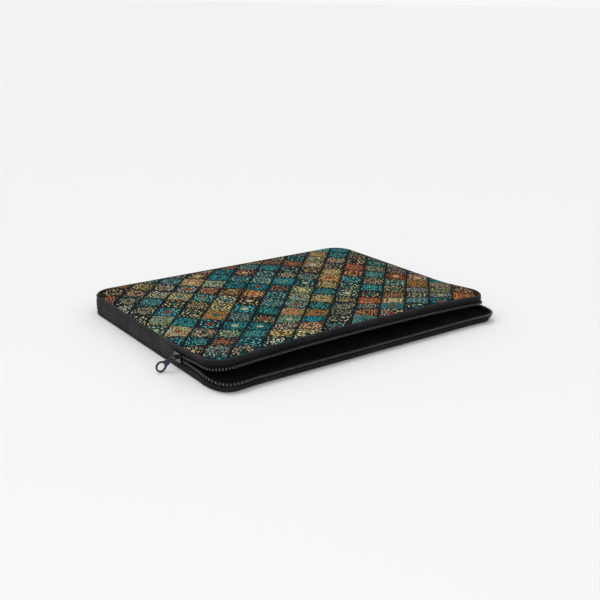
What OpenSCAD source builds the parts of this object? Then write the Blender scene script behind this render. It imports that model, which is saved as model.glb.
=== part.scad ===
// Padded laptop sleeve with a three-sided zip.
// The sleeve lies flat: +X along the mouth, +Y from the mouth to the back edge, +Z up.
// The origin is the middle of the underside. Everything is drawn shut and flat, and the mouth's
// front pieces are then turned up about two fold lines to the angle at which the mouth stands open.

/* [Overall] */
// Length of the sleeve, along the mouth
sleeve_w = 388; // [300:1:470]
// Depth of the sleeve, from the mouth to the back edge
sleeve_d = 290; // [230:1:350]
// Thickness of the shut sleeve
sleeve_h = 24; // [22:0.5:36]
// Radius of the four corners, seen from above
corner_r = 27; // [22:1:40]

/* [Panels] */
// Thickness of the knitted outer cover
cover_t = 0.6; // [0.4:0.1:1]
// Thickness of the foam core
foam_t = 2.4; // [1.5:0.1:4]
// Thickness of the plush lining
lining_t = 0.5; // [0.3:0.1:1]
// Width of the binding round the edge of each panel
binding_w = 3.5; // [2.5:0.1:5]

/* [Gusset] */
// How far the gusset stands in from the face of the binding
gusset_inset = 0.5; // [0.2:0.1:1]
// Thickness of the gusset band
gusset_t = 2.3; // [1.5:0.1:3]

/* [Mouth] */
// How far the zip runs back along each short side
mouth_side = 80; // [66:1:110]
// Angle at which the mouth stands open
mouth_rest = 5; // [4.4:0.1:7]
// Angle left between the rows when the slider is fully forward
mouth_shut = 1.2; // [1:0.1:1.6]
// Angle between the two halves of the mouth when the lip lies straight
fold_gap = 0.4; // [0.3:0.1:1]

/* [Zip] */
// Distance from one tooth to the next
tooth_pitch = 3; // [2:0.25:4]
// Width of a tooth along the zip
tooth_w = 1.7; // [1:0.1:2]
// Thickness of a tooth through the tape
tooth_t = 2.4; // [1.6:0.1:3]
// Height of a tooth, from the tape's edge to its tip
tooth_h = 2.4; // [1.6:0.1:3]
// Space between the tips of the two rows when they lie parallel
row_gap = 0.4; // [0.3:0.1:1]
// Thickness of the zip tape
tape_t = 0.6; // [0.4:0.1:1]
// Depth of the tape that is sewn in behind the strip
tape_sewn = 2.5; // [1.5:0.1:3]
// Length of the stop at each end of the zip
stop_l = 1.6; // [1:0.1:3]

/* [Slider] */
// Length of the slider along the zip
slider_l = 14.5; // [9:0.5:16]
// Thickness of each slider plate
plate_t = 1.2; // [0.8:0.1:1.6]
// Width of the turned-in edge of each slider plate
flange_w = 1.8; // [0.7:0.1:2]
// Running clearance of the slider round the teeth
slide_clear = 0.25; // [0.2:0.05:0.4]
// Width of the bridge that holds the link
bridge_w = 2; // [1.5:0.1:3]
// Thickness of the bridge
bridge_t = 1; // [0.8:0.1:1.5]

/* [Pull] */
// Thickness of the link's wire
wire_d = 1.2; // [0.9:0.1:1.6]
// Distance between the link's two rails, centre to centre
link_w = 5; // [4.6:0.1:7]
// Distance from the bridge to the link's straight end
link_l = 5; // [4.5:0.5:9]
// Thickness of the pull tab
tab_t = 1.4; // [1:0.1:2]
// Width of the pull tab's ring
ring_d = 12; // [10.4:0.2:15]
// Width of the hole in the ring
ring_hole = 8.2; // [6:0.2:8.8]
// Distance from the link's straight end to the middle of the ring
tab_l = 11.5; // [11:0.5:22]
// Depth of the enamel on each face of the pull tab
enamel_t = 0.3; // [0.2:0.1:0.5]
// Height of the ring's lowest edge above the surface that the sleeve lies on
ring_lift = 0.3; // [0.2:0.1:1]

/* [Hidden] */
$fn = 96;

eps = 0.01;
far = 1000;
panel_t = cover_t + foam_t + lining_t;
zip_z = sleeve_h / 2;

// The gusset, counted inwards from the face of the binding
gusset_in = gusset_inset + gusset_t;
wall_in = gusset_in + lining_t;
zip_in = 2;
tape_out = zip_in - tape_t / 2;
tape_in = zip_in + tape_t / 2;

// Fold lines of the mouth. The second lies just behind the start of the front corners
corner_room = 3;
fold_y = mouth_side - sleeve_d / 2;
lip_y = corner_r + corner_room - sleeve_d / 2;

// The zip's rows, as heights above and below the middle of the gusset
tip = row_gap / 2;
base = tip + tooth_h;
rail_clear = 0.3;

// The slider's run, from its stop to the second fold line
slider_gap = 0.4;
slider_rear = fold_y - stop_l - slider_gap;
slider_front = slider_rear - slider_l;
slider_travel = slider_front - lip_y - corner_room;
slider_y = slider_rear - slider_l / 2;

// How far the upper row has risen above its shut place, at a distance in front of the first fold
// line, with the mouth open by an angle
row_drop = sleeve_h - zip_z;
function rise(distance, angle) =
    (distance - row_drop * sin(angle)) * tan(angle) + row_drop * (1 - cos(angle));
function angle_at(share) = mouth_rest + (mouth_shut - mouth_rest) * share;
function rises(place) = [
    for (share = [0 : 0.1 : 1])
        rise(fold_y - slider_rear + place + slider_travel * share, angle_at(share))
];

// The slider's inside: the wedge between the rows, and the channel's upper edge at both ends
wedge_l = 4.5;
wedge_setback = 0.8;
wedge_start = slider_l - wedge_l - wedge_setback;
wedge_h = min(rises(wedge_start)) + row_gap - 2 * slide_clear;
channel_low = base + slide_clear;
channel_rear = max(rises(0)) + base + slide_clear;
channel_front = max(rises(slider_l)) + base + slide_clear;
plate_in = tooth_t / 2 + slide_clear;
plate_out = plate_in + plate_t;

// Strips that hold the tape, which the slider's edges pass clear of
strip_low = zip_z - channel_low - flange_w - rail_clear;
strip_high = zip_z + max(
    channel_rear + flange_w - min(rises(0)),
    channel_front + flange_w - min(rises(slider_l))
) + rail_clear;
tape_sewn_upper = min(tape_sewn, sleeve_h - panel_t - strip_high);
tape_sewn_lower = min(tape_sewn, strip_low - panel_t);

// The link and the pull tab hang from the bridge, which stands off the outer plate
zip_x = zip_in - sleeve_w / 2;
link_r = link_w / 2;
bridge_rise = link_r + wire_d / 2 + slide_clear;
bridge_x = zip_x - plate_out - bridge_rise;
bridge_z = zip_z + (channel_front - channel_low) / 2;
link_corner = 1;
knuckle_clear = 0.3;
knuckle_wall = 0.7;
knuckle_side = 0.2;
knuckle_l = 2 * (link_r - link_corner - knuckle_side);
neck_w = 4.4;
neck_share = 0.96;
enamel_rim = 0.7;
ring_rim = 1;
pull_dip = asin((bridge_z - ring_lift - ring_d / 2) / (link_l + tab_l));

// ---------- Shapes that several pieces share ----------

module rounded(inset) {
    w = sleeve_w - 2 * inset;
    d = sleeve_d - 2 * inset;
    r = corner_r - inset;
    square([w - 2 * r, d], center = true);
    square([w, d - 2 * r], center = true);
    for (x = [-1, 1], y = [-1, 1])
        translate([x * (w / 2 - r), y * (d / 2 - r)]) circle(r);
}

module plate(inset, low, high) {
    translate([0, 0, low]) linear_extrude(high - low) rounded(inset);
}

module ring(outer, inner, low, high) {
    translate([0, 0, low]) linear_extrude(high - low) difference() {
        rounded(outer);
        rounded(inner);
    }
}

// Keeps what lies between two distances along Y
module between(front, back) {
    intersection() {
        children();
        translate([-far, front, -far]) cube([2 * far, back - front, 2 * far]);
    }
}

module rear_part() { between(fold_y, far) children(); }
module middle_part() { between(lip_y, fold_y - fold_gap) children(); }
module zip_middle_part() { between(lip_y, fold_y - stop_l - slider_gap) children(); }
module lip_part() { between(-far, lip_y - fold_gap) children(); }
module mouth_part() { between(-far, fold_y) children(); }

// Turns a piece of the mouth from shut up to where it stands open
module stood_open() {
    translate([0, fold_y, sleeve_h]) rotate([-mouth_rest, 0, 0])
        translate([0, -fold_y, -sleeve_h]) children();
}

// ---------- Panels ----------

module cover_layer(low) { plate(binding_w, low, low + cover_t); }
module foam_layer(low) { plate(binding_w, low, low + foam_t); }
module lining_layer(low) { plate(binding_w, low, low + lining_t); }

module bottom_cover() { color("#1b1b1e") cover_layer(0); }
module bottom_foam() { color("#3a3a3c") foam_layer(cover_t); }
module bottom_lining() { color("#2a2a2d") lining_layer(cover_t + foam_t); }
module bottom_binding() { color("#151517") ring(0, binding_w, 0, panel_t); }

module top_cover() { cover_layer(sleeve_h - cover_t); }
module top_foam() { foam_layer(sleeve_h - cover_t - foam_t); }
module top_lining() { lining_layer(sleeve_h - panel_t); }
module top_binding() { ring(0, binding_w, sleeve_h - panel_t, sleeve_h); }

module top_cover_rear() { color("#1f7f86") rear_part() top_cover(); }
module top_foam_rear() { color("#3a3a3c") rear_part() top_foam(); }
module top_lining_rear() { color("#2a2a2d") rear_part() top_lining(); }
module top_binding_rear() { color("#151517") rear_part() top_binding(); }

module top_cover_middle() { color("#1f7f86") stood_open() middle_part() top_cover(); }
module top_foam_middle() { color("#3a3a3c") stood_open() middle_part() top_foam(); }
module top_lining_middle() { color("#2a2a2d") stood_open() middle_part() top_lining(); }
module top_binding_middle() { color("#151517") stood_open() middle_part() top_binding(); }

module top_cover_lip() { color("#1f7f86") stood_open() lip_part() top_cover(); }
module top_foam_lip() { color("#3a3a3c") stood_open() lip_part() top_foam(); }
module top_lining_lip() { color("#2a2a2d") stood_open() lip_part() top_lining(); }
module top_binding_lip() { color("#151517") stood_open() lip_part() top_binding(); }

// ---------- Gusset behind the zip ----------

module gusset_band() {
    color("#222225") rear_part() ring(gusset_inset, gusset_in, panel_t, sleeve_h - panel_t);
}

module gusset_lining() {
    color("#2a2a2d") rear_part() ring(gusset_in, wall_in, panel_t, sleeve_h - panel_t);
}

// ---------- Mouth: strips, facings and tapes ----------

module strip(low, high) { ring(gusset_inset, tape_out, low, high); }
module facing(low, high) { ring(tape_in, wall_in, low, high); }
module tape(low, high) { ring(tape_out, tape_in, low, high); }

module upper_tape() { tape(zip_z + base, strip_high + tape_sewn_upper); }

module lower_strip() { color("#222225") mouth_part() strip(panel_t, strip_low); }
module lower_facing() { color("#2a2a2d") mouth_part() facing(panel_t, strip_low); }
module lower_tape() {
    color("#101012") mouth_part() tape(strip_low - tape_sewn_lower, zip_z - base);
}

module upper_strip_middle() {
    color("#222225") stood_open() zip_middle_part() strip(strip_high, sleeve_h - panel_t);
}
module upper_facing_middle() {
    color("#2a2a2d") stood_open() zip_middle_part() facing(strip_high, sleeve_h - panel_t);
}
module upper_tape_middle() { color("#101012") stood_open() zip_middle_part() upper_tape(); }
module upper_strip_lip() {
    color("#222225") stood_open() lip_part() strip(strip_high, sleeve_h - panel_t);
}
module upper_facing_lip() {
    color("#2a2a2d") stood_open() lip_part() facing(strip_high, sleeve_h - panel_t);
}
module upper_tape_lip() { color("#101012") stood_open() lip_part() upper_tape(); }

// ---------- Zip teeth ----------

// The zip's line seen from above: side, corner, front, corner, side
path_r = corner_r - zip_in;
side_l = mouth_side - corner_r;
arc_l = PI / 2 * path_r;
front_l = sleeve_w - 2 * corner_r;
path_l = 2 * side_l + 2 * arc_l + front_l;

// [x, y, direction] at a distance along the line from the left end
function on_left(s) =
    s < side_l ? [zip_x, fold_y - s, -90]
    : s < side_l + arc_l ? let (a = 180 + (s - side_l) / path_r * 180 / PI)
        [corner_r - sleeve_w / 2 + path_r * cos(a), corner_r - sleeve_d / 2 + path_r * sin(a), a + 90]
    : [corner_r - sleeve_w / 2 + s - side_l - arc_l, zip_in - sleeve_d / 2, 0];
function mirrored(p) = [-p[0], p[1], -p[2]];
function on_path(s) = s <= path_l / 2 ? on_left(s) : mirrored(on_left(path_l - s));

tooth_first = stop_l + slider_gap + tooth_pitch / 2;
tooth_count = floor((path_l - 2 * tooth_first) / tooth_pitch);
tooth_start = (path_l - tooth_count * tooth_pitch) / 2;
teeth = [for (i = [0 : tooth_count]) on_path(tooth_start + i * tooth_pitch)];
fold_room = tooth_w / 2 + fold_gap;

module tooth(place, low) {
    translate([place[0], place[1], low]) rotate(place[2])
        translate([-tooth_w / 2, -tooth_t / 2, 0]) cube([tooth_w, tooth_t, tooth_h]);
}

module lower_teeth() {
    color("#0c0c0d") for (p = teeth) tooth(p, zip_z - base);
}

module upper_teeth_middle() {
    color("#0c0c0d") stood_open()
        for (p = teeth) if (p[1] > lip_y + fold_room) tooth(p, zip_z + tip);
}

module upper_teeth_lip() {
    color("#0c0c0d") stood_open()
        for (p = teeth) if (p[1] < lip_y - fold_room) tooth(p, zip_z + tip);
}

module zip_stops() {
    stop_h = base + slide_clear;
    stop_gap = 0.1;
    color("#0c0c0d") for (side = [-1, 1])
        translate([side * (sleeve_w / 2 - zip_in) - tooth_t / 2, fold_y - stop_l, zip_z - base])
            cube([tooth_t, stop_l - stop_gap, base + stop_h]);
}

// ---------- Slider ----------

// A plate seen from outside, drawn as [distance from the slider's rear, height]
module plate_shape() {
    polygon([
        [0, -channel_low - flange_w], [slider_l, -channel_low - flange_w],
        [slider_l, channel_front + flange_w], [0, channel_rear + flange_w]
    ]);
}

// Places something drawn as [distance from the rear, height] on the left side of the sleeve
module on_zip(out, thick) {
    translate([zip_x - out - thick, slider_rear, zip_z])
        rotate([90, 0, 90]) mirror([1, 0, 0]) linear_extrude(thick) children();
}

module slider_plate(out) { on_zip(out, plate_t) plate_shape(); }

module slider_flanges(out, thick) {
    on_zip(out, thick) difference() {
        plate_shape();
        polygon([
            [-eps, -channel_low], [slider_l + eps, -channel_low],
            [slider_l + eps, channel_front], [-eps, channel_rear]
        ]);
    }
}

module slider_body() {
    lip_clear = tape_t / 2 + slide_clear;
    color("#111113") {
        slider_plate(plate_in);
        slider_plate(-plate_out);
        slider_flanges(lip_clear, plate_in - lip_clear + eps);
        slider_flanges(-plate_in - eps, plate_in - lip_clear + eps);
        on_zip(-plate_in - eps, 2 * plate_in + 2 * eps) polygon([
            [wedge_start, slide_clear - tip],
            [wedge_start + wedge_l, slide_clear - tip],
            [wedge_start + wedge_l, slide_clear - tip + wedge_h],
            [wedge_start, slide_clear - tip + wedge_h]
        ]);
    }
}

// The bridge stands on the outer plate and the link goes round it
bridge_open = 3;
bridge_foot = 1.8;
bridge_long = bridge_open + 2 * bridge_foot;

module slider_bridge() {
    high = bridge_rise + bridge_t / 2;
    color("#19191b")
        translate([zip_x - plate_out - high, slider_y - bridge_long / 2, bridge_z - bridge_w / 2])
            difference() {
                cube([high, bridge_long, bridge_w]);
                translate([bridge_t, bridge_foot, -eps])
                    cube([high, bridge_open, bridge_w + 2 * eps]);
            }
}

// A leaf spring that lies on the bridge
module slider_lock_spring() {
    leaf_t = 0.3;
    leaf_setback = 0.4;
    leaf_w = bridge_w - 2 * leaf_setback;
    color("#2b2b2e")
        translate([bridge_x - bridge_t / 2 - leaf_t, slider_y - bridge_long / 2, bridge_z - leaf_w / 2])
            cube([leaf_t, bridge_long, leaf_w]);
}

// ---------- Link and pull tab ----------

// Turns what is drawn pointing along -X, in the plane across the zip, to where it hangs
module hung() {
    translate([bridge_x, slider_y, bridge_z]) rotate([0, -pull_dip, 0]) rotate([90, 0, 0]) children();
}

// A wire loop with one round end, which turns on the bridge, and one straight end
module pull_link() {
    rail_l = link_l - link_corner;
    color("#1c1c1f") hung() {
        rotate([0, 0, -90]) rotate_extrude(angle = 180) translate([link_r, 0]) circle(d = wire_d);
        for (side = [-1, 1]) {
            translate([0, side * link_r, 0]) rotate([0, -90, 0]) cylinder(h = rail_l, d = wire_d);
            translate([-rail_l, side * (link_r - link_corner), 0]) rotate([0, 0, side > 0 ? 90 : 180])
                rotate_extrude(angle = 90) translate([link_corner, 0]) circle(d = wire_d);
        }
        translate([-link_l, link_corner - link_r, 0]) rotate([-90, 0, 0])
            cylinder(h = 2 * (link_r - link_corner), d = wire_d);
    }
}

knuckle_hole = wire_d + 2 * knuckle_clear;
knuckle_d = knuckle_hole + 2 * knuckle_wall;
plate_start = link_l + knuckle_hole / 2 + knuckle_wall / 2;
enamel_start = link_l + knuckle_d / 2 + enamel_rim;
ring_x = link_l + tab_l;

// Outline of the tab between the knuckle and the ring, narrowed on every side by a margin
module tab_waist(start, end, margin) {
    span = ring_x - plate_start;
    function half(u) = (neck_w + (ring_d * neck_share - neck_w) * (u - plate_start) / span) / 2 - margin;
    polygon([[-start, -half(start)], [-start, half(start)], [-end, half(end)], [-end, -half(end)]]);
}

module enamel_shape() {
    difference() {
        tab_waist(enamel_start, ring_x, enamel_rim);
        translate([-ring_x, 0]) circle(d = ring_hole + 2 * ring_rim);
    }
}

// The two faces of the tab, each as [lowest, highest] of the enamel's bed
enamel_beds = [[-tab_t / 2, enamel_t - tab_t / 2], [tab_t / 2 - enamel_t, tab_t / 2]];

module pull_tab() {
    color("#0d0d12") hung() difference() {
        union() {
            translate([0, 0, -tab_t / 2]) linear_extrude(tab_t) {
                tab_waist(plate_start, ring_x, 0);
                translate([-ring_x, 0]) circle(d = ring_d);
            }
            translate([-link_l, -knuckle_l / 2, 0]) rotate([-90, 0, 0]) cylinder(h = knuckle_l, d = knuckle_d);
        }
        translate([-link_l, -ring_d, 0]) rotate([-90, 0, 0]) cylinder(h = 2 * ring_d, d = knuckle_hole);
        translate([-ring_x, 0, -tab_t]) cylinder(h = 2 * tab_t, d = ring_hole);
        for (bed = enamel_beds)
            translate([0, 0, bed[0] < 0 ? bed[0] - eps : bed[0]]) linear_extrude(enamel_t + eps) enamel_shape();
    }
}

module pull_enamel() {
    color("#1a1a5a") hung()
        for (bed = enamel_beds) translate([0, 0, bed[0]]) linear_extrude(enamel_t) enamel_shape();
}

bottom_cover();
bottom_foam();
bottom_lining();
bottom_binding();
gusset_band();
gusset_lining();
top_cover_rear();
top_foam_rear();
top_lining_rear();
top_binding_rear();
top_cover_middle();
top_foam_middle();
top_lining_middle();
top_binding_middle();
top_cover_lip();
top_foam_lip();
top_lining_lip();
top_binding_lip();
lower_strip();
lower_facing();
lower_tape();
lower_teeth();
upper_strip_middle();
upper_facing_middle();
upper_tape_middle();
upper_teeth_middle();
upper_strip_lip();
upper_facing_lip();
upper_tape_lip();
upper_teeth_lip();
zip_stops();
slider_body();
slider_bridge();
slider_lock_spring();
pull_link();
pull_tab();
pull_enamel();
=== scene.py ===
import bpy
import bmesh
import math
from mathutils import Matrix, Vector, noise


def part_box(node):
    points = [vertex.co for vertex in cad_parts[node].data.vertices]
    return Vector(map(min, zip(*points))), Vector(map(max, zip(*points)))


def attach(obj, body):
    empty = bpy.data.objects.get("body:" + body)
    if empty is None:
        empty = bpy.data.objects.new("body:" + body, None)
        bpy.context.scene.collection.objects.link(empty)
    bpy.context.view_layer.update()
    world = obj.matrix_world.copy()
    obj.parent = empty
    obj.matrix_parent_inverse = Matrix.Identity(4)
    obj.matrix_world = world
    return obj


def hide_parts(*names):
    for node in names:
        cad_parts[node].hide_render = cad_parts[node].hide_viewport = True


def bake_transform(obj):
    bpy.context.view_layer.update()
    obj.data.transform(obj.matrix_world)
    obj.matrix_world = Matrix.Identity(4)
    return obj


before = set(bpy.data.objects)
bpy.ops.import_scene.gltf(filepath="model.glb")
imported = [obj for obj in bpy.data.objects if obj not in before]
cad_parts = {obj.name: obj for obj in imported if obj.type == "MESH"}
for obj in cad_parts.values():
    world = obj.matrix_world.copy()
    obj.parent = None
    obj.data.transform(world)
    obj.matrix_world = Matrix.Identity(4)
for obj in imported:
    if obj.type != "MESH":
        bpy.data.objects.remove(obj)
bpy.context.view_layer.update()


# ---- Camera --------------------------------------------------------------------------------------
# It looks down at the sleeve from beyond its front left corner, with a slightly long lens, and is
# tipped a little to one side.

camera_data = bpy.data.cameras.new("camera")
camera_data.sensor_width = 36
camera_data.lens = 53.0
camera_data.clip_start = 0.01
camera_data.clip_end = 1000
camera = bpy.data.objects.new("camera", camera_data)
bpy.context.collection.objects.link(camera)
bpy.context.scene.camera = camera
look_at = Vector((0.0407, 0.0333, 0.0))
look_from = Vector((-0.593, -0.8201, 0.3581))
camera_facing = (look_at - look_from).to_track_quat("-Z", "Y").to_matrix().to_4x4()
camera_roll = Matrix.Rotation(math.radians(0.93), 4, "Z")
camera.matrix_world = Matrix.Translation(look_from) @ camera_facing @ camera_roll


# ---- Table and studio light ----------------------------------------------------------------------
# A pale matt table that reaches far beyond the sleeve, under a bright even sky. One very soft lamp
# stands high behind, and a weak one in front puts glints on the metal and the teeth.

table_reach = 300
table_bm = bmesh.new()
bmesh.ops.create_grid(table_bm, x_segments=1, y_segments=1, size=table_reach)
table_mesh = bpy.data.meshes.new("table")
table_bm.to_mesh(table_mesh)
table_bm.free()
table = bpy.data.objects.new("table", table_mesh)
bpy.context.collection.objects.link(table)


def paint(name):
    """A new material, with its nodes, its links and its main shader."""
    material = bpy.data.materials.new(name)
    material.use_nodes = True
    nodes = material.node_tree.nodes
    return material, nodes, material.node_tree.links, nodes["Principled BSDF"]


table_paint, nodes, links, shader = paint("pale table")
shader.inputs["Base Color"].default_value = (0.88, 0.88, 0.88, 1)
shader.inputs["Roughness"].default_value = 0.95
shader.inputs["Specular IOR Level"].default_value = 0.0
table_mesh.materials.append(table_paint)

sun_data = bpy.data.lights.new("soft lamp behind", "SUN")
sun_data.energy = 0.95
sun_data.angle = math.radians(50)
sun = bpy.data.objects.new("soft lamp behind", sun_data)
sun.rotation_euler = Vector((0.25, -0.45, -1)).to_track_quat("-Z", "Y").to_euler()
bpy.context.collection.objects.link(sun)

glint_data = bpy.data.lights.new("glint lamp", "AREA")
glint_data.size = 0.5
glint_data.energy = 1.1
glint = bpy.data.objects.new("glint lamp", glint_data)
glint.location = (-0.9, -0.75, 0.85)
glint.rotation_euler = (-glint.location).to_track_quat("-Z", "Y").to_euler()
bpy.context.collection.objects.link(glint)

sky = bpy.data.worlds.new("studio")
sky.use_nodes = True
sky_nodes = sky.node_tree.nodes
sky_links = sky.node_tree.links
direction = sky_nodes.new("ShaderNodeTexCoord")
height = sky_nodes.new("ShaderNodeSeparateXYZ")
brightness = sky_nodes.new("ShaderNodeMapRange")
sky_links.new(direction.outputs["Generated"], height.inputs[0])
sky_links.new(height.outputs["Z"], brightness.inputs["Value"])
for setting, value in (("From Min", 0.02), ("From Max", 0.12), ("To Min", 0.93), ("To Max", 0.74)):
    brightness.inputs[setting].default_value = value
background = sky_nodes["Background"]
background.inputs["Color"].default_value = (1, 1, 1, 1)
sky_links.new(brightness.outputs[0], background.inputs["Strength"])
bpy.context.scene.world = sky
bpy.context.scene.view_settings.view_transform = "Standard"


# ---- Printed top panel ---------------------------------------------------------------------------
# A knitted polyester cover over a foam core, printed with a patchwork of diamond tiles. It is one
# cushion-like panel, crowned and blown up a little by its foam, sewn into the binding all round.
# Its front stands up at a fold on the line where the zip ends.

rim_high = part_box("bottom_binding")[1]
half_w = rim_high.x
half_d = rim_high.y
corner_r = 0.027
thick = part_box("top_binding_rear")[1].z
panel_t = rim_high.z
fold_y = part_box("top_cover_rear")[0].y
open_angle = math.radians(5)
lip_arch = 0.0038
arch_start = 0.010
side_droop = 0.0022
bend_room = 0.015
seam_y = -0.090
lining_t = 0.0005
cover_inset = 0.0026
pillow_edge = 0.0075
pillow_drop = 0.0022
top_crown = 0.0012
top_raise = 0.0008
ripple_high = 0.00022
ripples_per_m = 26
padding_pressure = 1.5
fabric_growth = 0.012
top_fullness = 0.0008
top_inside = thick - panel_t + lining_t
mouth_side = half_d + fold_y
zip_run = 0.047
top_parts = (("body", seam_y, None), ("front", None, seam_y))


def ease(value, start, end):
    """From 0 at start to 1 at end, without a corner."""
    share = min(1, max(0, (value - start) / (end - start)))
    return share * share * (3 - 2 * share)


def outward(p):
    """For a point by the rim: the corner centre it turns about, its way out, and its inset."""
    core = Vector((
        min(half_w - corner_r, max(corner_r - half_w, p.x)),
        min(half_d - corner_r, max(corner_r - half_d, p.y)),
        0,
    ))
    away = Vector((p.x, p.y, 0)) - core
    if away.length < 1e-9:
        return core, Vector((0, 0, 0)), corner_r
    return core, away.normalized(), corner_r - away.length


def inset_of(p):
    """How far inside the rim a point lies."""
    core, out, inset = outward(p)
    return min(half_w - abs(p.x), half_d - abs(p.y), inset if out.length else half_w)


def stand_open(p):
    """Bends a point of the top up at the fold, from shut to where the mouth stands open."""
    ahead = fold_y - p.y
    if ahead <= -bend_room:
        return p
    if ahead < bend_room:
        run = (ahead + bend_room) ** 2 / (4 * bend_room)
        angle = open_angle * (ahead + bend_room) / (2 * bend_room)
    else:
        run = ahead
        angle = open_angle
    below = p.z - thick
    side = abs(p.x) / half_w
    arch = lip_arch * (1 - side ** 2) * ease(ahead, arch_start, mouth_side)
    droop = side_droop * side ** 6 * ease(ahead, zip_run, mouth_side)
    return Vector((
        p.x,
        p.y + run * (1 - math.cos(open_angle)) + below * math.sin(angle),
        thick + run * math.sin(open_angle) + below * math.cos(angle) + arch - droop,
    ))


def panel_grid(inset, cells=64, crowding=1.5):
    """A flat grid within the rim, its cells smaller towards the rim, with a cloth map in metres."""
    bm = bmesh.new()
    w = half_w - inset
    d = half_d - inset
    r = corner_r - inset
    bmesh.ops.create_grid(bm, x_segments=cells, y_segments=round(cells * d / w), size=1)
    for v in bm.verts:
        x, y = (math.copysign(1 - (1 - min(1, abs(c))) ** crowding, c) for c in v.co.xy)
        x, y = x * w, y * d
        over_x, over_y = (abs(x) - w + r) / r, (abs(y) - d + r) / r
        if over_x > 0 and over_y > 0:
            x = math.copysign(w - r + r * over_x * math.sqrt(1 - over_y ** 2 / 2), x)
            y = math.copysign(d - r + r * over_y * math.sqrt(1 - over_x ** 2 / 2), y)
        v.co = (x, y, 0)
    cloth = bm.loops.layers.uv.verify()
    for face in bm.faces:
        for loop in face.loops:
            loop[cloth].uv = loop.vert.co.xy
    return bm


def pillowed(p, height, crown, drop):
    """The height of a padded face: rounded down at the rim, and a little higher in the middle."""
    share = min(1, max(0, inset_of(p) - cover_inset) / pillow_edge)
    rounded = 1 - math.sqrt(1 - (1 - share) ** 2)
    swell = (1 - (p.x / half_w) ** 2) * (1 - (p.y / half_d) ** 2)
    ripple = ripple_high * noise.noise(Vector((p.x * ripples_per_m, p.y * ripples_per_m, 3)))
    return height + crown * swell - drop * rounded + ripple * (1 - rounded)


def padded_panel(outer, inner):
    """A closed body with a padded outer face, given as a function, and a flat inner one."""
    bm = panel_grid(cover_inset)
    faces = bm.faces[:]
    made = bmesh.ops.extrude_face_region(bm, geom=faces)["geom"]
    for v in [g for g in made if isinstance(g, bmesh.types.BMVert)]:
        v.co.z = inner
    for v in {v for face in faces for v in face.verts}:
        v.co.z = outer(v.co)
    bmesh.ops.recalc_face_normals(bm, faces=bm.faces[:])
    return bm


def blown_up(bm, is_held, pressure, most, frames=20):
    """
    Lets the padding press the cover out between its held points, by a cloth simulation. No point may
    move further than most, and where the simulation moves it much further, most decides its place.
    """
    mesh = bpy.data.meshes.new("trial")
    bm.to_mesh(mesh)
    trial = bpy.data.objects.new("trial", mesh)
    bpy.context.collection.objects.link(trial)
    held = trial.vertex_groups.new(name="held")
    held.add([v.index for v in mesh.vertices if is_held(v.co)], 1, "REPLACE")
    cloth = trial.modifiers.new("cloth", "CLOTH")
    cloth.point_cache.frame_start = 1
    cloth.point_cache.frame_end = frames
    cloth.settings.vertex_group_mass = "held"
    cloth.settings.use_pressure = True
    cloth.settings.uniform_pressure_force = pressure
    cloth.settings.effector_weights.gravity = 0
    cloth.settings.shrink_min = -fabric_growth
    for number in range(1, frames + 1):
        bpy.context.scene.frame_set(number)
    result = trial.evaluated_get(bpy.context.evaluated_depsgraph_get()).data
    for v, moved in zip(bm.verts, result.vertices):
        step = moved.co - v.co
        if step.length > 1e-9:
            v.co += step.normalized() * most * math.tanh(step.length / most)
    bpy.data.objects.remove(trial)
    bpy.context.scene.frame_set(1)
    return bm


def keep(bm, front=None, back=None):
    """Cuts away what lies ahead of front or behind back, and closes the cuts with sharp edges."""
    for y, side in ((front, -1), (back, 1)):
        if y is None:
            continue
        bmesh.ops.bisect_plane(
            bm, geom=bm.verts[:] + bm.edges[:] + bm.faces[:], plane_co=(0, y, 0),
            plane_no=(0, side, 0), clear_outer=True,
        )
        cut = [e for e in bm.edges if e.is_boundary and all(abs(v.co.y - y) < 1e-6 for v in e.verts)]
        for face in bmesh.ops.holes_fill(bm, edges=cut)["faces"]:
            face.smooth = False
        for edge in cut:
            edge.smooth = False
    return bm


def finish_piece(name, bm, shape=None, smooth=True):
    """Bends the mesh to its shape in use, and makes it an object of that name."""
    for v in bm.verts:
        v.co = shape(v.co) if shape else v.co
    mesh = bpy.data.meshes.new(name)
    bm.to_mesh(mesh)
    bm.free()
    mesh.polygons.foreach_set("use_smooth", [smooth] * len(mesh.polygons))
    piece = bpy.data.objects.new(name, mesh)
    bpy.context.collection.objects.link(piece)
    return piece


def ride_top(piece):
    """Bakes the piece's placement into its mesh."""
    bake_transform(piece)


def srgb(code):
    """The linear colour of a six-figure screen colour."""
    parts = [int(code[i:i + 2], 16) / 255 for i in (0, 2, 4)]
    return [c / 12.92 if c < 0.04045 else ((c + 0.055) / 1.055) ** 2.4 for c in parts] + [1]


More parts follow.
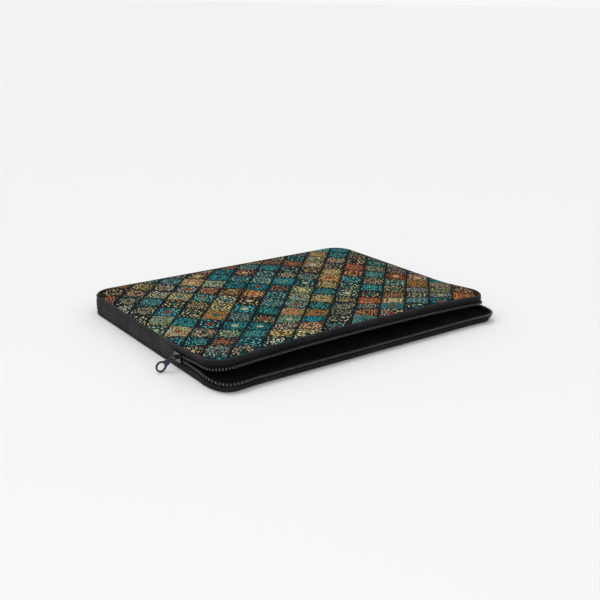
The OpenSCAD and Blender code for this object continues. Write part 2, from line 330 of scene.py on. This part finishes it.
class Sums:
    """Writes the sums, mixes and textures of a paint as its nodes."""

    def __init__(self, nodes, links):
        self.nodes = nodes
        self.links = links

    def feed(self, socket, value):
        if isinstance(value, bpy.types.NodeSocket):
            self.links.new(value, socket)
        else:
            socket.default_value = value

    def math(self, kind, a, b=0.0, c=0.0):
        node = self.nodes.new("ShaderNodeMath")
        node.operation = kind
        for socket, value in zip(node.inputs, (a, b, c)):
            self.feed(socket, value)
        return node.outputs[0]

    def between(self, value, low, high, to_low=0.0, to_high=1.0):
        node = self.nodes.new("ShaderNodeMapRange")
        node.interpolation_type = "SMOOTHSTEP"
        for socket, item in zip(node.inputs, (value, low, high, to_low, to_high)):
            self.feed(socket, item)
        return node.outputs[0]

    def mix(self, share, a, b):
        node = self.nodes.new("ShaderNodeMix")
        node.data_type = "RGBA"
        for place, item in ((0, share), (6, a), (7, b)):
            self.feed(node.inputs[place], item)
        return node.outputs[2]

    def cloth_map(self):
        return self.nodes.new("ShaderNodeUVMap").outputs[0]

    def place(self):
        return self.nodes.new("ShaderNodeTexCoord").outputs["Object"]

    def split(self, vector):
        node = self.nodes.new("ShaderNodeSeparateXYZ")
        self.links.new(vector, node.inputs[0])
        return node.outputs

    def join(self, x, y, z=0.0):
        node = self.nodes.new("ShaderNodeCombineXYZ")
        for socket, value in zip(node.inputs, (x, y, z)):
            self.feed(socket, value)
        return node.outputs[0]

    def noise(self, vector, size, detail=2.0):
        """Soft cloudiness, its blobs about size metres across."""
        node = self.nodes.new("ShaderNodeTexNoise")
        self.links.new(vector, node.inputs["Vector"])
        node.inputs["Scale"].default_value = 1 / size
        node.inputs["Detail"].default_value = detail
        return node.outputs["Fac"]

    def beads(self, vector, size):
        """Small round cells: how far each point is from its cell's middle, and the cell's chances."""
        node = self.nodes.new("ShaderNodeTexVoronoi")
        self.links.new(vector, node.inputs["Vector"])
        node.inputs["Scale"].default_value = 1 / size
        return node.outputs["Distance"], self.split(node.outputs["Color"])

    def waves(self, value, pitch):
        """Ridges from -1 to 1, one every pitch metres."""
        return self.math("SINE", self.math("MULTIPLY", value, 2 * math.pi / pitch))

    def bump(self, shader, height, depth):
        """Raises the surface where height is 1, by depth metres."""
        node = self.nodes.new("ShaderNodeBump")
        node.inputs["Strength"].default_value = 1
        node.inputs["Distance"].default_value = depth
        self.links.new(height, node.inputs["Height"])
        self.links.new(node.outputs[0], shader.inputs["Normal"])


tile_w = 0.0385
print_depth = 1.22
tile_d = 0.0400
tile_colors = (
    "0a525b", "9c8e5e", "0b646f", "0f383f", "561c12", "067884", "0a444a", "b57f50", "246264",
    "64877e", "0d4653", "7f7e54", "3e1d27", "0a565e", "2c3d47", "a85826", "175250", "b5a476",
    "43706e", "0b4c57", "52424a", "066a73",
)
light_colors = (
    "e8dca6", "8fd4cc", "cfe0a6", "f0bb88", "3fc0c6", "e2d194", "f2e8be", "e89a55", "b9cbb9",
    "6fd0c4",
)
dark_colors = ("08242a", "0a2f38", "2a100c", "1c1620", "0d1a20", "13302e", "3a1710", "0a3a40")
heart_colors = ("7a2a1c", "12a0a8", "d27a3c", "143a44", "5f2c4c", "d9cf9e", "1b6f6c", "9c3f28")

print_paint, nodes, links, shader = paint("printed patchwork")
sums = Sums(nodes, links)
cloth = sums.cloth_map()
x, y, _ = sums.split(cloth)
across = sums.math("DIVIDE", x, tile_w)
down = sums.math("DIVIDE", y, tile_d)
a = sums.math("ADD", across, down)
b = sums.math("SUBTRACT", across, down)


def pick(colors, seed):
    """One of the colours for each tile, by chance."""
    chance = nodes.new("ShaderNodeTexWhiteNoise")
    chance.noise_dimensions = "3D"
    tile = sums.join(sums.math("FLOOR", a), sums.math("FLOOR", b), seed)
    links.new(tile, chance.inputs["Vector"])
    ramp = nodes.new("ShaderNodeValToRGB")
    ramp.color_ramp.interpolation = "CONSTANT"
    stops = ramp.color_ramp.elements
    stops[0].color = srgb(colors[0])
    stops[1].position = 1 / len(colors)
    stops[1].color = srgb(colors[1])
    for i, color in enumerate(colors[2:], 2):
        stops.new(i / len(colors)).color = srgb(color)
    links.new(chance.outputs["Value"], ramp.inputs[0])
    return ramp.outputs[0], chance.outputs["Value"]


ground, _ = pick(tile_colors, 3.0)
light, chance_a = pick(light_colors, 11.0)
dark, chance_b = pick(dark_colors, 27.0)
heart, chance_c = pick(heart_colors, 41.0)
fa = sums.math("SUBTRACT", sums.math("FRACT", a), 0.5)
fb = sums.math("SUBTRACT", sums.math("FRACT", b), 0.5)
far = sums.math("SQRT", sums.math("ADD", sums.math("MULTIPLY", fa, fa), sums.math("MULTIPLY", fb, fb)))
round_angle = sums.math("ARCTAN2", fb, fa)


def petals(count, turned=0.0):
    """Ridges like the petals of a rosette, round the middle of a tile."""
    return sums.math("COSINE", sums.math("MULTIPLY_ADD", round_angle, count, turned))


many = sums.math("GREATER_THAN", chance_b, 0.45)
few = sums.math("SUBTRACT", 1.0, many)
lobes = sums.math("ADD", sums.math("MULTIPLY", petals(8), few), sums.math("MULTIPLY", petals(12, 0.4), many))
wavy = sums.math("MULTIPLY_ADD", lobes, 0.026, far)
rings = sums.math("COSINE", sums.math("MULTIPLY", wavy, sums.between(chance_a, 0, 1, 34, 60)))
spokes = sums.math("MULTIPLY", lobes, sums.math("COSINE", sums.math("MULTIPLY", far, 27.0)))
rosette = sums.between(wavy, 0.47, 0.43)
bead_far, bead_chance = sums.beads(cloth, 0.0018)
fleck = sums.math("MULTIPLY", sums.math("SUBTRACT", bead_chance[0], 0.5), sums.between(bead_far, 0.75, 0.35))
drawn = sums.math("ADD", sums.math("MULTIPLY", rings, 0.50), sums.math("MULTIPLY", spokes, 0.62))
drawn = sums.math("MULTIPLY_ADD", drawn, rosette, sums.math("MULTIPLY", fleck, 1.75))
dark_share = sums.between(sums.math("MULTIPLY_ADD", chance_c, 0.20, drawn), 0.24, 0.04)
light_share = sums.between(sums.math("MULTIPLY_ADD", chance_b, 0.20, drawn), 0.60, 0.80)
color = sums.mix(sums.math("MULTIPLY", dark_share, 0.94), ground, dark)
color = sums.mix(sums.math("MULTIPLY", light_share, 0.95), color, light)
heart_size = sums.between(chance_c, 0, 1, 0.07, 0.15)
heart_share = sums.between(sums.math("SUBTRACT", wavy, heart_size), 0.012, -0.012)
color = sums.mix(sums.math("MULTIPLY", heart_share, 0.75), color, heart)
color = sums.mix(sums.between(wavy, 0.045, 0.030), color, dark)
line_a = sums.between(sums.math("ABSOLUTE", fa), 0.480, 0.492)
line_b = sums.between(sums.math("ABSOLUTE", fb), 0.450, 0.468)
color = sums.mix(sums.math("MAXIMUM", line_a, line_b), color, srgb("071a1f"))
faded = sums.noise(cloth, 0.05, 3)
color = sums.mix(sums.between(faded, 0.3, 0.9, 0.0, 0.02), color, srgb("b8b8a8"))
tone = nodes.new("ShaderNodeGamma")
tone.inputs["Gamma"].default_value = print_depth
links.new(color, tone.inputs["Color"])
links.new(tone.outputs[0], shader.inputs["Base Color"])
knit = sums.math("MULTIPLY", sums.waves(x, 0.0009), sums.waves(y, 0.0007))
links.new(sums.between(knit, -1, 1, 0.74, 0.90), shader.inputs["Roughness"])
shader.inputs["Specular IOR Level"].default_value = 0.05
sums.bump(shader, sums.math("ADD", knit, sums.noise(cloth, 0.003, 3)), 0.00005)

foam_paint, nodes, links, shader = paint("cut foam edge")
sums = Sums(nodes, links)
pores = sums.noise(sums.place(), 0.0006, 4)
links.new(sums.mix(pores, srgb("151517"), srgb("2c2c2e")), shader.inputs["Base Color"])
links.new(sums.between(pores, 0.2, 0.8, 0.88, 0.98), shader.inputs["Roughness"])
shader.inputs["Specular IOR Level"].default_value = 0.05
sums.bump(shader, pores, 0.0002)


def padded_piece(name, bm, outer_sign, cover_paint, shape):
    """Finishes a padded panel, with the cover's paint outside and cut foam at its edge and back."""
    bm.normal_update()
    for face in bm.faces:
        face.material_index = 0 if face.normal.z * outer_sign > 0.2 else 1
    piece = finish_piece(name, bm, shape)
    piece.data.materials.append(cover_paint)
    piece.data.materials.append(foam_paint)
    return piece


def top_outer(p):
    return pillowed(p, thick + top_raise, top_crown, pillow_drop)


def sewn_or_glued(p):
    """The top panel is held along its seam and over its whole glued face."""
    return p.z < top_inside + 0.0002 or inset_of(p) < cover_inset + 0.0008


whole = padded_panel(top_outer, top_inside)
whole = blown_up(whole, sewn_or_glued, padding_pressure, top_fullness)
for part, front, back in top_parts:
    cut = keep(whole.copy(), front, back)
    panel = padded_piece(f"top_panel_{part}", cut, 1, print_paint, stand_open)
    ride_top(panel)
    if part == "body":
        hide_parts("top_cover_rear", "top_foam_rear", "top_cover_middle", "top_foam_middle")
    else:
        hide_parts("top_cover_lip", "top_foam_lip")
whole.free()


# ---- Lining of the top ---------------------------------------------------------------------------
# A thin sheet of dark plush, glued flat to the inner face of the panel.

def black_cloth(name, color, worn_color, thread, depth, rough, gloss, ribbed=False):
    """A woven or knitted black cloth: threads both ways, a little fuzz, and paler worn patches."""
    material, nodes, links, shader = paint(name)
    sums = Sums(nodes, links)
    cloth = sums.cloth_map()
    x, y, _ = sums.split(cloth)
    over = sums.waves(x, thread)
    under = sums.waves(y, thread * (6 if ribbed else 1))
    if ribbed:
        weave = sums.math("MULTIPLY_ADD", over, 0.5, sums.math("MULTIPLY", under, 0.2))
    else:
        weave = sums.math("MULTIPLY", over, under)
    fuzz = sums.noise(cloth, thread * 1.7, 3)
    worn = sums.math("MULTIPLY_ADD", weave, 0.14, sums.noise(cloth, 0.035, 4))
    share = sums.between(worn, 0.38, 0.78)
    links.new(sums.mix(share, srgb(color), srgb(worn_color)), shader.inputs["Base Color"])
    links.new(sums.between(fuzz, 0.2, 0.8, rough - 0.07, rough + 0.07), shader.inputs["Roughness"])
    shader.inputs["Sheen Weight"].default_value = 0.015
    shader.inputs["Sheen Roughness"].default_value = 0.45
    shader.inputs["Specular IOR Level"].default_value = gloss
    sums.bump(shader, sums.math("MULTIPLY_ADD", weave, 0.5, fuzz), depth)
    return material


plush_paint = black_cloth("dark plush", "131315", "242426", 0.0009, 0.00025, 0.92, 0.05)
lining_room = 0.00005


def lining_sheet(z):
    """A thin flat sheet within the seam, downwards from a height."""
    bm = panel_grid(cover_inset)
    for v in bm.verts:
        v.co.z = z
    bmesh.ops.solidify(bm, geom=bm.faces[:], thickness=lining_room - lining_t)
    bmesh.ops.recalc_face_normals(bm, faces=bm.faces[:])
    return bm


for part, front, back in top_parts:
    bm = keep(lining_sheet(top_inside - lining_t), front, back)
    lining = finish_piece(f"top_lining_{part}", bm, stand_open)
    lining.data.materials.append(plush_paint)
    ride_top(lining)
    if part == "body":
        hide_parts("top_lining_rear", "top_lining_middle")
    else:
        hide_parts("top_lining_lip")


# ---- Binding of the top --------------------------------------------------------------------------
# Ribbed elastic tape, folded round the raw edge of the panel and sewn through with black thread. It
# shows as a soft roll, lower than the padding beside it.

tape_paint = black_cloth("ribbed binding", "19191b", "2c2c2f", 0.0009, 0.00020, 0.68, 0.2, ribbed=True)
thread_paint, nodes, links, shader = paint("sewing thread")
sums = Sums(nodes, links)
twist = sums.noise(sums.place(), 0.0003, 2)
links.new(sums.mix(twist, srgb("101011"), srgb("2e2e30")), shader.inputs["Base Color"])
links.new(sums.between(twist, 0.2, 0.8, 0.45, 0.65), shader.inputs["Roughness"])
shader.inputs["Specular IOR Level"].default_value = 0.25
sums.bump(shader, twist, 0.0001)


def set_on_rim(v, inset, z):
    core, out, _ = outward(v.co)
    v.co = core + out * (corner_r - inset)
    v.co.z = z


def rim_strip(section, cell=0.006):
    """Sweeps a closed section, a list of (inset, height), round the whole rim."""
    bm = bmesh.new()
    bmesh.ops.create_grid(bm, x_segments=1, y_segments=1, size=1)
    bmesh.ops.scale(bm, vec=(half_w, half_d, 1), verts=bm.verts[:])
    bmesh.ops.bevel(
        bm, geom=bm.verts[:], offset=corner_r, segments=14, profile=0.5,
        affect="VERTICES", material=-1,
    )
    bmesh.ops.delete(bm, geom=bm.faces[:], context="FACES_ONLY")
    for side in [e for e in bm.edges if e.calc_length() > corner_r]:
        cuts = round(side.calc_length() / cell) - 1
        bmesh.ops.subdivide_edges(bm, edges=[side], cuts=cuts)
    along = bm.verts.layers.float.new("along")
    line = bm.verts[:]
    start = min(line, key=lambda v: (v.co - Vector((0, half_d, 0))).length)
    v, edge, run = start, start.link_edges[0], 0.0
    while True:
        v[along] = run
        run += edge.calc_length()
        v = edge.other_vert(v)
        if v is start:
            break
        edge = next(e for e in v.link_edges if e is not edge)
    for v in line:
        set_on_rim(v, *section[0])
    first = ring = bm.edges[:]
    for inset, z in section[1:]:
        made = bmesh.ops.extrude_edge_only(bm, edges=ring)["geom"]
        ring = [g for g in made if isinstance(g, bmesh.types.BMEdge)]
        for v in [g for g in made if isinstance(g, bmesh.types.BMVert)]:
            set_on_rim(v, inset, z)
    bmesh.ops.bridge_loops(bm, edges=first + ring)
    cloth = bm.loops.layers.uv.verify()
    for face in bm.faces:
        latest = max(loop.vert[along] for loop in face.loops)
        for loop in face.loops:
            value = loop.vert[along]
            value += run if latest - value > run / 2 else 0
            loop[cloth].uv = (value, loop.vert.co.z - inset_of(loop.vert.co))
    bmesh.ops.recalc_face_normals(bm, faces=bm.faces[:])
    return bm


def rim_places(inset, pitch):
    """Evenly spaced places round the rim at an inset, each with its heading along the rim."""
    r = corner_r - inset
    long_side, short_side = 2 * (half_w - corner_r), 2 * (half_d - corner_r)
    stretches = (long_side, math.pi / 2 * r, short_side, math.pi / 2 * r) * 2
    count = round(sum(stretches) / pitch)
    places = []
    for i in range(count):
        run = (i + 0.5) * sum(stretches) / count
        stretch = 0
        while run > stretches[stretch]:
            run -= stretches[stretch]
            stretch += 1
        quarter = stretch // 2
        half_a, half_b = (half_w, half_d) if quarter % 2 == 0 else (half_d, half_w)
        turned = run / r if stretch % 2 else 0.0
        ahead = r * math.sin(turned) if stretch % 2 else run - 2 * (half_a - corner_r)
        place = Vector((half_a - corner_r + ahead, corner_r - half_b - r * math.cos(turned), 0))
        heading = quarter * math.pi / 2
        places.append((Matrix.Rotation(heading, 3, "Z") @ place, heading + turned))
    return places


binding_w = 0.0030
binding_high = thick - 0.0004
binding_top = [
    (binding_w, thick - panel_t + 0.0004), (0.0015, thick - panel_t), (0.0005, thick - panel_t + 0.0003),
    (0.0001, thick - panel_t + 0.0011), (0.0, thick - 0.0021), (0.0002, binding_high - 0.0009),
    (0.0008, binding_high - 0.0002), (0.0016, binding_high), (0.0024, binding_high - 0.0003),
    (binding_w, binding_high - 0.0010), (binding_w + 0.0002, binding_high - 0.0016),
]
stitch_pitch = 0.0030
stitch_inset = 0.0022
stitch_size = (0.36 * stitch_pitch, 0.00026, 0.00022)


def stitches(name, z, shape, front=None, back=None):
    """A row of thread stitches, each a small rounded bead of thread half sunk in the tape."""
    bm = bmesh.new()
    for place, heading in rim_places(stitch_inset, stitch_pitch):
        if (front is not None and place.y < front) or (back is not None and place.y > back):
            continue
        spot = Matrix.Translation(place + Vector((0, 0, z))) @ Matrix.Rotation(heading + 0.12, 4, "Z")
        spot = spot @ Matrix.Diagonal((*stitch_size, 1))
        bmesh.ops.create_icosphere(bm, subdivisions=1, radius=1, matrix=spot)
    row = finish_piece(name, bm, shape)
    row.data.materials.append(thread_paint)
    return row


for part, front, back in top_parts:
    binding = finish_piece(f"top_binding_{part}", keep(rim_strip(binding_top), front, back), stand_open)
    binding.data.materials.append(tape_paint)
    ride_top(binding)
    if part == "body":
        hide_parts("top_binding_rear", "top_binding_middle")
    else:
        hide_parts("top_binding_lip")
    ride_top(stitches(f"top_stitches_{part}", binding_high - 0.0002, stand_open, front, back))


# ---- Bottom panel --------------------------------------------------------------------------------
# The same foam, covered with plain black knit and lined with plush. It lies flat, and its front is
# drawn forwards where the lower lip of the mouth has been stretched, most of all at its corners.

plain_paint = black_cloth("plain black knit", "19191a", "272729", 0.0011, 0.00014, 0.82, 0.10)
floor_gap = 0.0002
bottom_drop = 0.0012
front_draw = 0.0105
corner_draw = 0.0030
corner_spread = 0.0035
corner_from, corner_to = 0.045, 0.010


def drawn_forward(p):
    """Draws the front of the bottom forwards, most at its edge and its corners."""
    near = ease(-p.y, zip_run - fold_y, half_d)
    corner = ease(abs(p.x), half_w - corner_from, half_w - corner_to) * near
    x = p.x + math.copysign(corner_spread * corner, p.x)
    return Vector((x, p.y - front_draw * near - corner_draw * corner, p.z))


def bottom_outer(p):
    return panel_t - pillowed(p, panel_t - floor_gap, 0, bottom_drop)


whole = padded_panel(bottom_outer, panel_t - lining_t)
bottom = padded_piece("bottom_panel", whole, -1, plain_paint, drawn_forward)
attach(bottom, "base")
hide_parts("bottom_cover", "bottom_foam")

lining = finish_piece("bottom_lining_sheet", lining_sheet(panel_t), drawn_forward)
lining.data.materials.append(plush_paint)
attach(lining, "base")
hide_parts("bottom_lining")

binding_bottom = [(inset, max(0.0, thick - z - 0.0004)) for inset, z in reversed(binding_top)]
binding = finish_piece("bottom_binding_tape", rim_strip(binding_bottom), drawn_forward)
binding.data.materials.append(tape_paint)
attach(binding, "base")
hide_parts("bottom_binding")
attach(stitches("bottom_stitches", stitch_size[2], drawn_forward), "base")


# ---- Gusset --------------------------------------------------------------------------------------
# A band of padded charcoal knit round the back and both sides, up to where the zip begins. Its foam
# bellies it out between its two seams, and plush faces it inside.

gusset_low, gusset_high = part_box("gusset_band")
gusset_inset = half_w - gusset_high.x
gusset_in = gusset_inset + 0.0023
gusset_end = gusset_low.y
gusset_rows = 10
gusset_paint = black_cloth("charcoal knit", "252527", "353538", 0.0011, 0.00016, 0.8, 0.14)


def bellied(low, high, swell, groove=0.0005):
    """Section of a band between two seams: drawn in at them, and bellied out between."""
    outer = []
    for i in range(gusset_rows + 1):
        t = i / gusset_rows
        drawn_in = groove * abs(2 * t - 1) ** 6
        outer.append((gusset_inset - swell * math.sin(math.pi * t) ** 0.6 + drawn_in, low + (high - low) * t))
    return outer + [(gusset_in - lining_room, high), (gusset_in - lining_room, low)]


def sewn_gusset(p):
    """The gusset is held at both seams and over its glued inner face."""
    return inset_of(p) > gusset_inset + 0.0010 or not panel_t + 0.0015 < p.z < thick - panel_t - 0.0015


seam_tuck = 0.0003
gusset_swell = 0.0005
gusset_fullness = 0.0005
band = rim_strip(bellied(panel_t - seam_tuck, thick - panel_t + seam_tuck, gusset_swell))
band = blown_up(band, sewn_gusset, padding_pressure, gusset_fullness)
band = finish_piece("gusset", keep(band, gusset_end))
band.data.materials.append(gusset_paint)
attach(band, "base")
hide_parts("gusset_band")

facing_section = [
    (gusset_in, panel_t), (gusset_in, thick / 2), (gusset_in, thick - panel_t),
    (gusset_in + lining_t, thick - panel_t), (gusset_in + lining_t, thick / 2),
    (gusset_in + lining_t, panel_t),
]
facing = finish_piece("gusset_facing", keep(rim_strip(facing_section), gusset_end))
facing.data.materials.append(plush_paint)
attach(facing, "base")
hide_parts("gusset_lining")


# ---- Lips of the mouth ---------------------------------------------------------------------------
# Below and above the zip, a narrow strip of knit and a plush facing hold the zip tape between them.
# The upper lip flares out at the front. The lower one leans out a little, so that its teeth face up.

strip_low_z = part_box("lower_strip")[1].z
zip_z = thick / 2
zip_inset = 0.0020
tape_half = 0.0003
row_gap = 0.0004
tooth_h = 0.0024
tape_edge = row_gap / 2 + tooth_h
zip_start = fold_y - 0.0020
tape_tuck = 0.0025
upper_flare = math.radians(25)
lower_lean = math.radians(34)
lower_roll = 0.0014
lip_lag = 0.003
upper_hem = thick + (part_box("upper_strip_middle")[0].z - thick) / math.cos(open_angle)
strip_paint = black_cloth("lip knit", "18181a", "272729", 0.0011, 0.00014, 0.78, 0.14)
zip_paint = black_cloth("zip tape", "0e0e0f", "181819", 0.0007, 0.00012, 0.75, 0.08, ribbed=True)


def lip_turn(y):
    """How far the lips have turned outwards at a place along the side: 0 where the slider runs."""
    return ease(fold_y - y, zip_run, mouth_side + lip_lag)


def upper_lip(p):
    """Flares the upper lip out about the lower edge of the top binding."""
    out = outward(p)[1]
    hang = thick - panel_t - p.z
    if hang > 0:
        angle = upper_flare * lip_turn(p.y)
        p = p + out * hang * math.sin(angle) + Vector((0, 0, hang * (1 - math.cos(angle))))
    return stand_open(p)


def lower_lip(p):
    """Leans the lower lip out about the bottom binding, rounded like a roll, and draws it forward."""
    out = outward(p)[1]
    stand = p.z - panel_t
    if stand > 0:
        turned = lip_turn(p.y)
        lean = lower_lean * turned
        roll = lower_roll * turned * math.sin(math.pi * min(1, stand / (zip_z - panel_t)))
        p = p + out * (stand * math.sin(lean) + roll) + Vector((0, 0, stand * (math.cos(lean) - 1)))
    return drawn_forward(p)


def lip_strip(seam, hem):
    """Section of a strip from its seam to its hem, which is a rolled fold by the tape."""
    fall = hem - seam
    behind = zip_inset - tape_half - 0.0001
    return [
        (gusset_inset, seam), (gusset_inset - 0.0003, seam + fall * 0.3),
        (gusset_inset - 0.0003, seam + fall * 0.7), (gusset_inset, seam + fall * 0.92),
        (gusset_inset + 0.0005, hem), (behind, hem - fall * 0.1), (behind, seam),
    ]


def thin_section(out_inset, in_inset, low, high):
    """Section of a thin strip, with a row of points half way up it."""
    middle = (low + high) / 2
    return [
        (out_inset, low), (out_inset, middle), (out_inset, high),
        (in_inset, high), (in_inset, middle), (in_inset, low),
    ]


facing_out = zip_inset + tape_half + 0.0001
facing_in = gusset_in + lining_t
tape_out, tape_in = zip_inset - tape_half, zip_inset + tape_half
upper_pieces = (
    ("upper_strip", lip_strip(thick - panel_t + seam_tuck, upper_hem), strip_paint, "gusset"),
    ("upper_facing", thin_section(facing_out, facing_in, upper_hem, thick - panel_t), plush_paint, "lining"),
    ("upper_tape", thin_section(tape_out, tape_in, zip_z + tape_edge - 0.0002, upper_hem + tape_tuck),
     zip_paint, "zip_tape"),
)
for stem, section, cloth_paint, slot_name in upper_pieces:
    for part, front, back in top_parts:
        back = zip_start if part == "body" else back
        piece = finish_piece(f"{stem}_{part}", keep(rim_strip(section), front, back), upper_lip)
        piece.data.materials.append(cloth_paint)
        ride_top(piece)
        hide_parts(f"{stem}_middle" if part == "body" else f"{stem}_lip")

lower_pieces = (
    ("lower_strip", lip_strip(panel_t - seam_tuck, strip_low_z), strip_paint, "gusset"),
    ("lower_facing", thin_section(facing_out, facing_in, panel_t, strip_low_z), plush_paint, "lining"),
    ("lower_tape", thin_section(tape_out, tape_in, strip_low_z - tape_tuck, zip_z - tape_edge + 0.0002),
     zip_paint, "zip_tape"),
)
for node, section, cloth_paint, slot_name in lower_pieces:
    piece = finish_piece(f"{node}_cloth", keep(rim_strip(section), None, fold_y), lower_lip)
    piece.data.materials.append(cloth_paint)
    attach(piece, "base")
    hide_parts(node)


# ---- Zip teeth -----------------------------------------------------------------------------------
# Moulded nylon teeth, clamped on the beaded edge of each tape: a square foot, a waist and a rounded
# head. A stop closes each end of the zip.

tooth_w = 0.0017
tooth_t = 0.0024
tooth_pitch = 0.0030
tooth_levels = (
    (0.40, 0.95, 1.0), (0.52, 0.62, 0.92), (0.78, 1.02, 0.90), (1.0, 0.66, 0.72),
)
teeth_paint, nodes, links, shader = paint("black nylon teeth")
sums = Sums(nodes, links)
scuffs = sums.noise(sums.place(), 0.0012, 4)
nylon = sums.mix(sums.between(scuffs, 0.40, 0.75), srgb("222225"), srgb("545458"))
links.new(nylon, shader.inputs["Base Color"])
links.new(sums.between(scuffs, 0.2, 0.8, 0.24, 0.42), shader.inputs["Roughness"])
shader.inputs["Specular IOR Level"].default_value = 0.6
sums.bump(shader, scuffs, 0.00008)


def one_tooth():
    """A tooth drawn up from its foot, level by level, each narrower or wider than the last."""
    bm = bmesh.new()
    bmesh.ops.create_grid(bm, x_segments=1, y_segments=1, size=0.5)
    bmesh.ops.scale(bm, vec=(tooth_w, tooth_t, 1), verts=bm.verts[:])
    bm.faces.ensure_lookup_table()
    top = bm.faces[0]
    for level, wide, deep in tooth_levels:
        made = bmesh.ops.extrude_face_region(bm, geom=[top])["geom"]
        top = next(g for g in made if isinstance(g, bmesh.types.BMFace))
        for v in top.verts:
            v.co.x = math.copysign(tooth_w * wide / 2, v.co.x)
            v.co.y = math.copysign(tooth_t * deep / 2, v.co.y)
            v.co.z = tooth_h * level
    bmesh.ops.holes_fill(bm, edges=[e for e in bm.edges if e.is_boundary])
    bmesh.ops.recalc_face_normals(bm, faces=bm.faces[:])
    mesh = bpy.data.meshes.new("tooth")
    bm.to_mesh(mesh)
    bm.free()
    return mesh


tooth_mesh = one_tooth()


def teeth_row(name, up, front, back, shape):
    """The teeth on one tape between two places, which stand up from it or hang from it."""
    bm = bmesh.new()
    foot = zip_z + tape_edge if up else zip_z - tape_edge
    for place, heading in rim_places(zip_inset, tooth_pitch):
        if place.y > back or (front is not None and place.y < front):
            continue
        spot = Matrix.Translation(place + Vector((0, 0, foot))) @ Matrix.Rotation(heading, 4, "Z")
        if up:
            spot = spot @ Matrix.Rotation(math.pi, 4, "X")
        before = len(bm.verts)
        bm.from_mesh(tooth_mesh)
        bm.verts.ensure_lookup_table()
        bmesh.ops.transform(bm, matrix=spot, verts=bm.verts[before:])
    row = finish_piece(name, bm, shape, smooth=False)
    soft = row.modifiers.new("rounded", "BEVEL")
    soft.width = 0.00025
    soft.segments = 1
    row.data.materials.append(teeth_paint)
    return row


last_tooth = zip_start - 0.001
for part, front, back in top_parts:
    row = teeth_row(f"upper_teeth_{part}", True, front, last_tooth if part == "body" else back, upper_lip)
    ride_top(row)
    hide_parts("upper_teeth_middle" if part == "body" else "upper_teeth_lip")
row = teeth_row("lower_teeth_row", False, None, last_tooth, lower_lip)
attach(row, "base")
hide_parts("lower_teeth")


def at_corner(edge, low, high):
    """Whether an edge across the zip is at one of the four corners of the slider's plates."""
    one, other = (v.co for v in edge.verts)
    level = abs(one.y - other.y) < 1e-6 and abs(one.z - other.z) < 1e-6
    at_end = min(abs(one.y - low.y), abs(one.y - high.y)) < 1e-6
    middle = (low.z + high.z) / 2
    return level and at_end and abs(one.z - middle) > 0.38 * (high.z - low.z)


def rounded_copy(name, node, body, finish, radius, segments=3, corner=0):
    """A hard piece with the shape of its node, its edges rounded, riding on a body."""
    low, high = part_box(node)
    bm = bmesh.new()
    bm.from_mesh(bpy.data.objects[node].data)
    bmesh.ops.remove_doubles(bm, verts=bm.verts[:], dist=1e-6)
    bmesh.ops.dissolve_limit(bm, angle_limit=math.radians(1), verts=bm.verts[:], edges=bm.edges[:])
    if corner:
        upright = [e for e in bm.edges if at_corner(e, low, high)]
        bmesh.ops.bevel(
            bm, geom=upright, offset=corner, segments=8, profile=0.5, affect="EDGES", material=-1,
        )
    sharp = [e for e in bm.edges if len(e.link_faces) == 2 and e.calc_face_angle() > math.radians(30)]
    if radius:
        bmesh.ops.bevel(
            bm, geom=sharp, offset=radius, segments=segments, profile=0.5,
            affect="EDGES", clamp_overlap=True, material=-1,
        )
    bmesh.ops.recalc_face_normals(bm, faces=bm.faces[:])
    piece = finish_piece(name, bm)
    keep_flat = piece.modifiers.new("even shading", "WEIGHTED_NORMAL")
    keep_flat.keep_sharp = True
    piece.data.materials.append(finish)
    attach(piece, body)
    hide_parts(node)
    return piece


rounded_copy("zip_end_stops", "zip_stops", "base", teeth_paint, 0.00025)


# ---- Slider --------------------------------------------------------------------------------------
# A die-cast slider, painted black: two plates with turned-in edges and rounded corners, a bridge on
# the outer plate that the link goes round, and a leaf spring on the bridge.

metal_paint, nodes, links, shader = paint("black painted metal")
sums = Sums(nodes, links)
place = sums.place()
grain = sums.noise(place, 0.0006, 3)
patches = sums.between(sums.noise(place, 0.002, 4), 0.45, 0.70)
metal = sums.mix(sums.math("MULTIPLY", patches, 0.5), srgb("111113"), srgb("3a3a3d"))
links.new(metal, shader.inputs["Base Color"])
links.new(sums.between(grain, 0.2, 0.8, 0.18, 0.34), shader.inputs["Roughness"])
shader.inputs["Metallic"].default_value = 0.2
shader.inputs["Coat Weight"].default_value = 0.5
shader.inputs["Coat Roughness"].default_value = 0.15
sums.bump(shader, grain, 0.00003)

rounded_copy("slider_casting", "slider_body", "slider", metal_paint, 0.00045, 4, 0.0024)
rounded_copy("slider_bow", "slider_bridge", "slider", metal_paint, 0.00040, 4)
rounded_copy("slider_spring", "slider_lock_spring", "slider", metal_paint, 0.00010, 2)


# ---- Link and pull tab ---------------------------------------------------------------------------
# A bent wire link hangs from the bridge and carries the tab, a cast plate with a knuckle, a window
# and a wide ring. Navy enamel fills a shallow bed on both of its faces.

rounded_copy("link_wire", "pull_link", "link", metal_paint, 0)
rounded_copy("tab_plate", "pull_tab", "tab", metal_paint, 0.00022, 3)

enamel_paint, nodes, links, shader = paint("navy enamel")
sums = Sums(nodes, links)
pooled = sums.noise(sums.place(), 0.002, 3)
links.new(sums.mix(pooled, srgb("0c0c48"), srgb("1a1a66")), shader.inputs["Base Color"])
links.new(sums.between(pooled, 0.2, 0.8, 0.10, 0.22), shader.inputs["Roughness"])
shader.inputs["Coat Weight"].default_value = 0.6
sums.bump(shader, pooled, 0.00004)
rounded_copy("tab_enamel", "pull_enamel", "tab", enamel_paint, 0.00012, 2)
